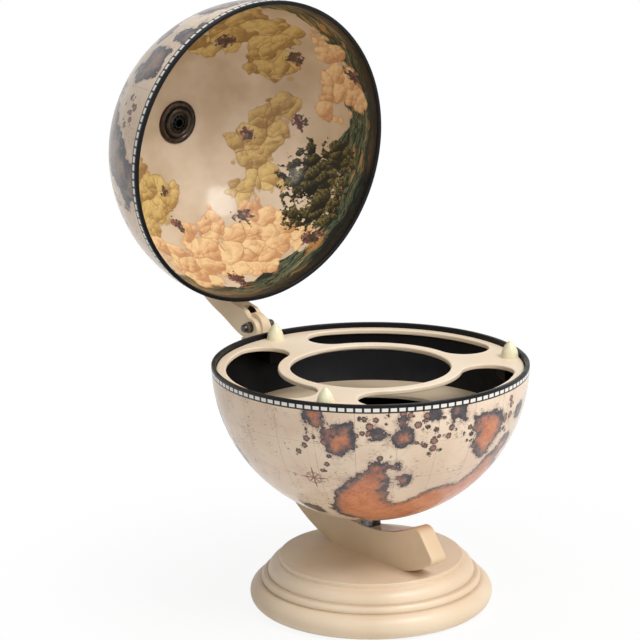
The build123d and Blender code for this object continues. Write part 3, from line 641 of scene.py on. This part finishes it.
# ------------------------------------------------------------------ ring shelf, tray and cleats
# Thin board, cut out, rounded at the edges and sprayed cream. Three black cleats glued to the
# bowl carry the tray, and the shelf rests on the bowl's own curve.
BOARD_GRAIN = (60, 420, 420)
tray_paint = cream_paint("tray_paint", BOARD_GRAIN, tone(247, 228, 202), tone(240, 218, 190))
finish_nodes(tray_paint, "serving_tray")
shelf_paint = cream_paint("shelf_paint", BOARD_GRAIN, tone(232, 212, 184), tone(216, 194, 164))
finish_nodes(shelf_paint, "bottle_shelf")
black_paint, tree, shader = new_finish("black_wood", Roughness=0.6, IOR=1.3)
place = object_place(tree)
wood_grain = mottle(tree, stretched(tree, place, (60, 400, 400)), 1.0)
dress(tree, shader, black_inside(tree, place), None, wood_grain, 0.0001)
finish_nodes(black_paint, "tray_cleats")


# ------------------------------------------------------------------ pegs
# Turned cones of a yellowish ivory plastic, set over the tray's screws. They keep bottles apart
# and hide the screw heads. The lathe has left fine rings round them.
ivory, tree, shader = new_finish(
    "ivory_plastic", IOR=1.49, Subsurface_Weight=0.25, Subsurface_Scale=0.003, Coat_Weight=0.2
)
turned = mottle(tree, stretched(tree, object_place(tree), (40, 40, 2600)), 1.0, 2.0)
ivory_colour = mixed(tree, turned, tone(242, 236, 204), tone(232, 223, 184))
dress(tree, shader, ivory_colour, ranged(tree, turned, 0.3, 0.7, 0.28, 0.38), turned, 0.00005)
finish_nodes(ivory, "tray_pegs")


# ------------------------------------------------------------------ upper arm
# The lid's bow, of the same board and paint as the lower arm. Its fork straddles the tongue,
# and the inside of the slot is painted dark brown as painted shade.
swing = next(joint for joint in frame["joints"] if joint["name"] == "lid_hinge")
SLOT_HALF = 0.0042            # half the slot's width
SLOT_MOUTH = (0.0135, 0.018)  # the painted shade starts between these distances from the pin
SLOT_ROOT = (0.0268, 0.0262)  # and ends between these


# Painted shade: the slot's inside walls are painted dark brown between its mouth and its root, where shade
# falls.
def slot_shade(tree, place, colour):
    split = parts(tree, place)
    between = ranged(tree, calc(tree, "ABSOLUTE", split["X"]), SLOT_HALF + 0.0003, SLOT_HALF + 0.0001)
    pin = swing["pos_m"]
    flat = {"Y": calc(tree, "SUBTRACT", split["Y"], pin[1]), "Z": calc(tree, "SUBTRACT", split["Z"], pin[2])}
    from_pin = measured(tree, "LENGTH", put(tree, "ShaderNodeCombineXYZ", flat).outputs[0])
    deep = calc(tree, "MULTIPLY", ranged(tree, from_pin, *SLOT_MOUTH), ranged(tree, from_pin, *SLOT_ROOT))
    return mixed(tree, calc(tree, "MULTIPLY", between, deep), colour, tone(46, 34, 22))


upper_paint = cream_paint("upper_arm_paint", ARM_GRAIN, ARM_CREAM, ARM_SHADE, slot_shade)
finish_nodes(upper_paint, "upper_arm")


# ------------------------------------------------------------------ lid shell and its painting
# The other half ball: the same print outside with brown lands, and inside a painted sky with
# gold and peach clouds, leaves and dark water along the rim, under a glossy lacquer.
lid_turn = math.radians(swing["range_deg"][1])
lid_pole = Vector((0, math.sin(lid_turn), math.cos(lid_turn)))
ring_low, ring_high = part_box("lid_rim_ring")
lid_centre = (ring_low + ring_high) / 2 - lid_pole * RIM_RING_H / 2

LID_LANDS = [
    (172, 7, 8), (-177, 17, 9), (-169, 29, 10), (-160, 42, 11), (-174, 53, 8), (-148, 47, 9), (176, 34, 6),
    (112, 19, 8), (98, 29, 10), (87, 42, 12), (105, 49, 10), (76, 30, 8), (67, 20, 6), (121, 34, 6),
    (92, 12, 5),
    (21, 9, 8), (9, 20, 10), (-4, 32, 12), (10, 43, 10), (25, 30, 8), (-18, 45, 9), (-21, 22, 7),
    (30, 52, 6),
    (-60, 71, 10), (-91, 62, 12), (-121, 60, 8), (-80, 50, 9), (-66, 40, 8), (-59, 29, 7), (-52, 18, 5),
    (-105, 16, 9), (-92, 9, 6), (-119, 27, 8), (-95, 25, 6), (-132, 34, 5),
    (48, 12, 5), (56, 44, 5), (140, 18, 5), (146, 40, 5), (157, 60, 6), (-45, 6, 4), (-140, 14, 8),
    (-122, 7, 5), (-151, 30, 5), (40, 68, 7),
]
LID_ISLANDS = [
    (-178, 13, 6), (160, 18, 7), (-160, 12, 6), (135, 32, 7), (-120, 40, 8), (-60, 22, 8), (30, 14, 8),
]
BROWN_SOIL = (tone(160, 136, 116), tone(112, 94, 84))
GOLD_CLOUDS = [
    (-104, 38, 14), (-84, 28, 12), (-72, 42, 15), (-52, 34, 13), (-38, 44, 12), (-112, 52, 11), (-84, 54, 9),
    (118, 58, 12), (136, 52, 14), (152, 44, 13), (168, 50, 13), (126, 42, 9), (-176, 60, 11), (-6, 46, 9),
    (6, 50, 11), (20, 54, 11), (36, 47, 9), (52, 50, 6),
]
GOLD = (tone(226, 194, 124), tone(196, 158, 92), tone(138, 98, 56))
PEACH_CLOUDS = [
    (58, 34, 11), (70, 26, 14), (88, 30, 12), (104, 24, 12), (80, 42, 8), (118, 32, 8), (96, 40, 7),
    (52, 20, 8),
    (-34, 16, 9), (-20, 20, 10), (-8, 26, 8), (-14, 12, 8), (-44, 20, 6),
]
PEACH = (tone(250, 214, 160), tone(232, 182, 130), tone(184, 122, 84))
BLOSSOMS = [
    (62, 42, 4), (104, 46, 4), (-33, 34, 4.5), (141, 40, 4), (160, 56, 3.5), (2, 38, 4), (-70, 50, 4.5),
    (50, 13, 5), (88, 17, 5), (12, 58, 3.5), (-96, 46, 4), (-22, 10, 4), (126, 18, 5), (112, 61, 3.5),
]
LEAVES = [
    (14, 20, 8), (26, 24, 10), (38, 19, 8), (30, 33, 7), (18, 31, 5), (44, 27, 5), (-120, 22, 9),
    (-134, 26, 8), (-150, 20, 8),
]
SUNWARD = Vector((-0.35, -0.75, 0.55)).normalized()  # toward the painted light, in the lid's own frame


def puffed(tree, place, scale):
    """Round puffs: how far out from a puff's middle, how lit its side is, and where two meet."""
    cells = put(tree, "ShaderNodeTexVoronoi", {"Vector": place, "Scale": scale}).outputs
    away = vector_calc(tree, "SUBTRACT", place, cells["Position"])
    side = measured(tree, "DOT_PRODUCT", away, SUNWARD * scale)
    edge = {"Vector": place, "Scale": scale}
    meeting = put(tree, "ShaderNodeTexVoronoi", edge, feature="DISTANCE_TO_EDGE").outputs["Distance"]
    return cells["Distance"], side, meeting


# A cloud takes a place and how far inside the cloud's rough shape that lies. It puts out the
# colour of its puffs, lit from above and lined in brown where they meet, and the cloud's share.
cumulus, given, out = new_group(
    "painted_cloud",
    {"Place": PLACE, "Field": NUMBER, "Lit": COLOUR, "Body": COLOUR, "Line": COLOUR},
    {"Colour": COLOUR, "Share": NUMBER},
)
place = given["Place"]
distance, side, meeting = puffed(cumulus, place, 7.5)
small_distance, small_side, small_meeting = puffed(cumulus, place, 17.0)
swell = calc(cumulus, "MULTIPLY_ADD", small_side, 0.45, side)
puffs = mixed(cumulus, ranged(cumulus, swell, -0.4, 0.45), given["Body"], given["Lit"])
puffs = mixed(cumulus, ranged(cumulus, swell, -0.1, -0.55, 0.0, 0.55), puffs, given["Line"])
smear = ranged(cumulus, mottle(cumulus, place, 16.0, 4.0, 0.65), 0.45, 0.7, 0.0, 0.4)
puffs = mixed(cumulus, smear, puffs, given["Line"])
big_lines = ranged(cumulus, meeting, 0.04, 0.0)
small_lines = ranged(cumulus, small_meeting, 0.045, 0.0, 0.0, 0.4)
lined = calc(cumulus, "MAXIMUM", big_lines, small_lines)
broken = ranged(cumulus, mottle(cumulus, place, 9.0, 2.0), 0.38, 0.62, 0.0, 0.75)
puffs = mixed(cumulus, calc(cumulus, "MULTIPLY", lined, broken), puffs, given["Line"])
bulge = calc(cumulus, "MULTIPLY_ADD", distance, -0.14, 0.08)
bulge = calc(cumulus, "MULTIPLY_ADD", small_distance, -0.05, bulge)
depth = calc(cumulus, "ADD", given["Field"], bulge)
puffs = mixed(cumulus, ranged(cumulus, depth, 0.02, 0.0, 0.0, 0.5), puffs, given["Line"])
cumulus.links.new(puffs, out["Colour"])
cumulus.links.new(ranged(cumulus, depth, -0.009, 0.009), out["Share"])


def with_clouds(tree, colour, place, spots, colours):
    """The painting with a bank of clouds over it, lit, body and line colour given."""
    sockets = {"Place": place, "Field": patches(tree, place, spots)}
    sockets.update(zip(("Lit", "Body", "Line"), colours))
    cloud = placed(tree, cumulus, sockets)
    return mixed(tree, cloud["Share"], colour, cloud["Colour"])


WATER_TOP = 0.27            # mean rise of the water above the rim, in radians
DARK_EDGE = (0.042, 0.036)  # the painting ends in black between these rises


def with_water(tree, colour, unit, rise):
    """Dark green water along the rim, streaked and crested with ochre."""
    rolling = parts(tree, wandering(tree, wandering(tree, unit, 4.0, 0.12), 14.0, 0.018))
    pulls = {"X": 1.8, "Y": 1.8, "Z": 16.0}
    streaks = {axis: calc(tree, "MULTIPLY", rolling[axis], pull) for axis, pull in pulls.items()}
    flow = put(tree, "ShaderNodeCombineXYZ", streaks).outputs[0]
    water = steps(
        tree,
        ranged(tree, mottle(tree, flow, 1.3, 4.0, 0.55), 0.28, 0.72),
        [
            (0.0, tone(16, 20, 20)), (0.28, tone(38, 52, 46)), (0.42, tone(96, 112, 88)),
            (0.5, tone(44, 58, 48)), (0.6, tone(24, 32, 30)), (0.7, tone(128, 132, 98)),
            (0.78, tone(58, 62, 46)), (1.0, tone(168, 160, 122)),
        ],
    )
    blots = mottle(tree, stretched(tree, flow, (1.0, 1.0, 0.8)), 1.9, 3.0)
    ochre = ranged(tree, blots, 0.58, 0.64, 0.0, 0.85)
    water = mixed(tree, ochre, water, tone(196, 142, 82))
    water = mixed(tree, ranged(tree, rise, 0.15, 0.05, 0.0, 0.9), water, tone(18, 21, 20))
    level = calc(tree, "MULTIPLY_ADD", mottle(tree, unit, 2.6, 3.0), 0.7, WATER_TOP - 0.35)
    crests = calc(tree, "MULTIPLY", mottle(tree, flow, 2.0, 3.0), 0.12)
    surf = calc(tree, "ADD", calc(tree, "SUBTRACT", level, rise), crests)
    return mixed(tree, ranged(tree, surf, 0.054, 0.066), colour, water)


def with_leaves(tree, colour, unit, place, twigs):
    """Clumps of dark leaves, in round crowns with a ragged edge."""
    distance, side, _ = puffed(tree, place, 13.0)
    crowns = calc(tree, "MULTIPLY_ADD", distance, -0.12, 0.07)
    wood = calc(tree, "ADD", calc(tree, "ADD", patches(tree, place, LEAVES), twigs), crowns)
    leaf = ranged(tree, mottle(tree, unit, 60.0, 3.0, 0.6), 0.4, 0.62)
    lit_leaf = mixed(tree, leaf, tone(58, 54, 34), tone(128, 116, 70))
    leaf_look = mixed(tree, ranged(tree, side, -0.35, 0.45), tone(32, 30, 22), lit_leaf)
    return mixed(tree, ranged(tree, wood, -0.004, 0.008), colour, leaf_look)


def with_blossoms(tree, colour, unit, place, twigs):
    """Small sprays of red, pink and green petals."""
    cells = {"Vector": wandering(tree, unit, 40.0, 0.02), "Scale": 34.0}
    petals = put(tree, "ShaderNodeTexVoronoi", cells).outputs
    bloom = steps(
        tree,
        put(tree, "ShaderNodeSeparateColor", {0: petals["Color"]}).outputs["Red"],
        [
            (0.0, tone(72, 50, 46)), (0.3, tone(150, 86, 84)), (0.55, tone(206, 150, 128)),
            (0.8, tone(96, 92, 62)),
        ],
    )
    bloom = mixed(tree, ranged(tree, petals["Distance"], 0.1, 0.5, 0.0, 0.7), bloom, tone(66, 46, 44))
    petal_edge = calc(tree, "MULTIPLY", petals["Distance"], -0.05)
    spray = calc(tree, "ADD", patches(tree, place, BLOSSOMS), petal_edge)
    spray = calc(tree, "MULTIPLY_ADD", twigs, 0.5, spray)
    return mixed(tree, ranged(tree, spray, -0.01, 0.0), colour, bloom)


def painted_sky(tree, unit):
    """The painting, from its sky forward to the blossoms, ending in black at the rim."""
    rise = calc(tree, "ARCSINE", parts(tree, unit)["Z"])
    haze = ranged(tree, mottle(tree, unit, 2.4, 3.0), 0.35, 0.68)
    colour = mixed(tree, haze, tone(226, 203, 176), tone(204, 179, 148))
    wisps = mottle(tree, stretched(tree, unit, (3.0, 3.0, 14.0)), 1.0, 5.0)
    colour = mixed(tree, ranged(tree, wisps, 0.52, 0.7, 0.0, 0.3), colour, tone(234, 216, 192))
    place = wandering(tree, wandering(tree, unit, 3.0, 0.16), 9.0, 0.06)
    twigs = calc(tree, "SUBTRACT", mottle(tree, unit, 26.0, 4.0, 0.62), 0.5)
    twigs = calc(tree, "MULTIPLY", twigs, 0.34)
    colour = with_clouds(tree, colour, place, GOLD_CLOUDS, GOLD)
    colour = with_water(tree, colour, unit, rise)
    colour = with_clouds(tree, colour, place, PEACH_CLOUDS, PEACH)
    colour = with_leaves(tree, colour, unit, place, twigs)
    colour = with_blossoms(tree, colour, unit, place, twigs)
    return mixed(tree, ranged(tree, rise, *DARK_EDGE), colour, tone(20, 20, 23))


lid_print = printed_shell(
    "lid_print", lid_centre, (-lid_turn, 0, 0), 0.4, LID_LANDS, LID_ISLANDS, BROWN_SOIL, painted_sky, 0.5
)
finish_nodes(lid_print, "lid_shell")
finish_nodes(bronze("lid_bush_bronze", BUSH_GLOSS, lid_centre, lid_pole), "lid_escutcheon")
finish_nodes(bronze("lid_star_bronze", 0.0, lid_centre, lid_pole, STAR_HOLE_SHADE), "lid_star_washer")


# ------------------------------------------------------------------ floor, world, lamps and camera
# A white sweep under soft light from the front: a large lamp high up, a weaker one on the left,
# and a world that fills most from the front. Where the camera sees floor or world, it is white.
FLOOR_HALF = 6.0
floor_mesh = bmesh.new()
bmesh.ops.create_grid(floor_mesh, x_segments=1, y_segments=1, size=FLOOR_HALF)
floor_data = bpy.data.meshes.new("floor")
floor_mesh.to_mesh(floor_data)
floor_mesh.free()
floor = bpy.data.objects.new("floor", floor_data)
bpy.context.scene.collection.objects.link(floor)
floor_paint = bpy.data.materials.new("white_sweep")
floor_paint.use_nodes = True
tree = floor_paint.node_tree
tree.nodes.clear()
rays = put(tree, "ShaderNodeLightPath").outputs
seen = calc(tree, "MAXIMUM", rays["Is Camera Ray"], rays["Is Glossy Ray"])
matt = put(tree, "ShaderNodeBsdfDiffuse", {"Color": (0.85, 0.84, 0.82, 1.0)})
white = put(tree, "ShaderNodeEmission", {"Color": (1.0, 1.0, 1.0, 1.0), "Strength": 1.0})
far = measured(tree, "LENGTH", object_place(tree))
whiter = calc(tree, "MULTIPLY", seen, ranged(tree, far, 0.12, 0.5, 0.9, 1.0))
blend = put(tree, "ShaderNodeMixShader", {0: whiter, 1: matt.outputs[0], 2: white.outputs[0]})
put(tree, "ShaderNodeOutputMaterial", {"Surface": blend.outputs[0]})
floor_data.materials.append(floor_paint)

world = bpy.data.worlds.new("white_room")
bpy.context.scene.world = world
world.use_nodes = True
tree = world.node_tree
tree.nodes.clear()
rays = put(tree, "ShaderNodeLightPath").outputs
seen = calc(tree, "MAXIMUM", rays["Is Camera Ray"], rays["Is Glossy Ray"])
seen = calc(tree, "MAXIMUM", seen, rays["Is Transmission Ray"])
looking = put(tree, "ShaderNodeTexCoord").outputs["Generated"]
front = Vector((0.4, -0.75, 0.53)).normalized()
fill = ranged(tree, measured(tree, "DOT_PRODUCT", looking, front), -0.6, 1.0, 0.05, 0.84)
level = calc(tree, "MAXIMUM", seen, fill)
sky = put(tree, "ShaderNodeBackground", {"Color": (1.0, 1.0, 1.0, 1.0), "Strength": level})
put(tree, "ShaderNodeOutputWorld", {"Surface": sky.outputs[0]})

aim = Vector((0.0, 0.06, 0.3))
LAMPS = (("front_lamp", (0.4, -2.0, 2.6), 52.0, 1.3), ("left_lamp", (-2.3, -0.75, 1.7), 5.0, 0.6))
for name, place, power, size in LAMPS:
    lamp = bpy.data.lights.new(name, "AREA")
    lamp.energy = power
    lamp.shape = "DISK"
    lamp.size = size
    lamp_stand = bpy.data.objects.new(name, lamp)
    lamp_stand.location = place
    lamp_stand.rotation_euler = (aim - Vector(place)).to_track_quat("-Z", "Y").to_euler()
    bpy.context.scene.collection.objects.link(lamp_stand)

camera = bpy.data.objects.new("camera", bpy.data.cameras.new("camera"))
camera.data.lens = 146.25
camera.data.sensor_width = 36.0
camera.location = (-1.6544, -2.0091, 0.971)
camera.rotation_euler = tuple(math.radians(angle) for angle in (75.672, 0.446, -38.442))
bpy.context.scene.collection.objects.link(camera)
bpy.context.scene.camera = camera
bpy.context.scene.view_settings.view_transform = "Standard"
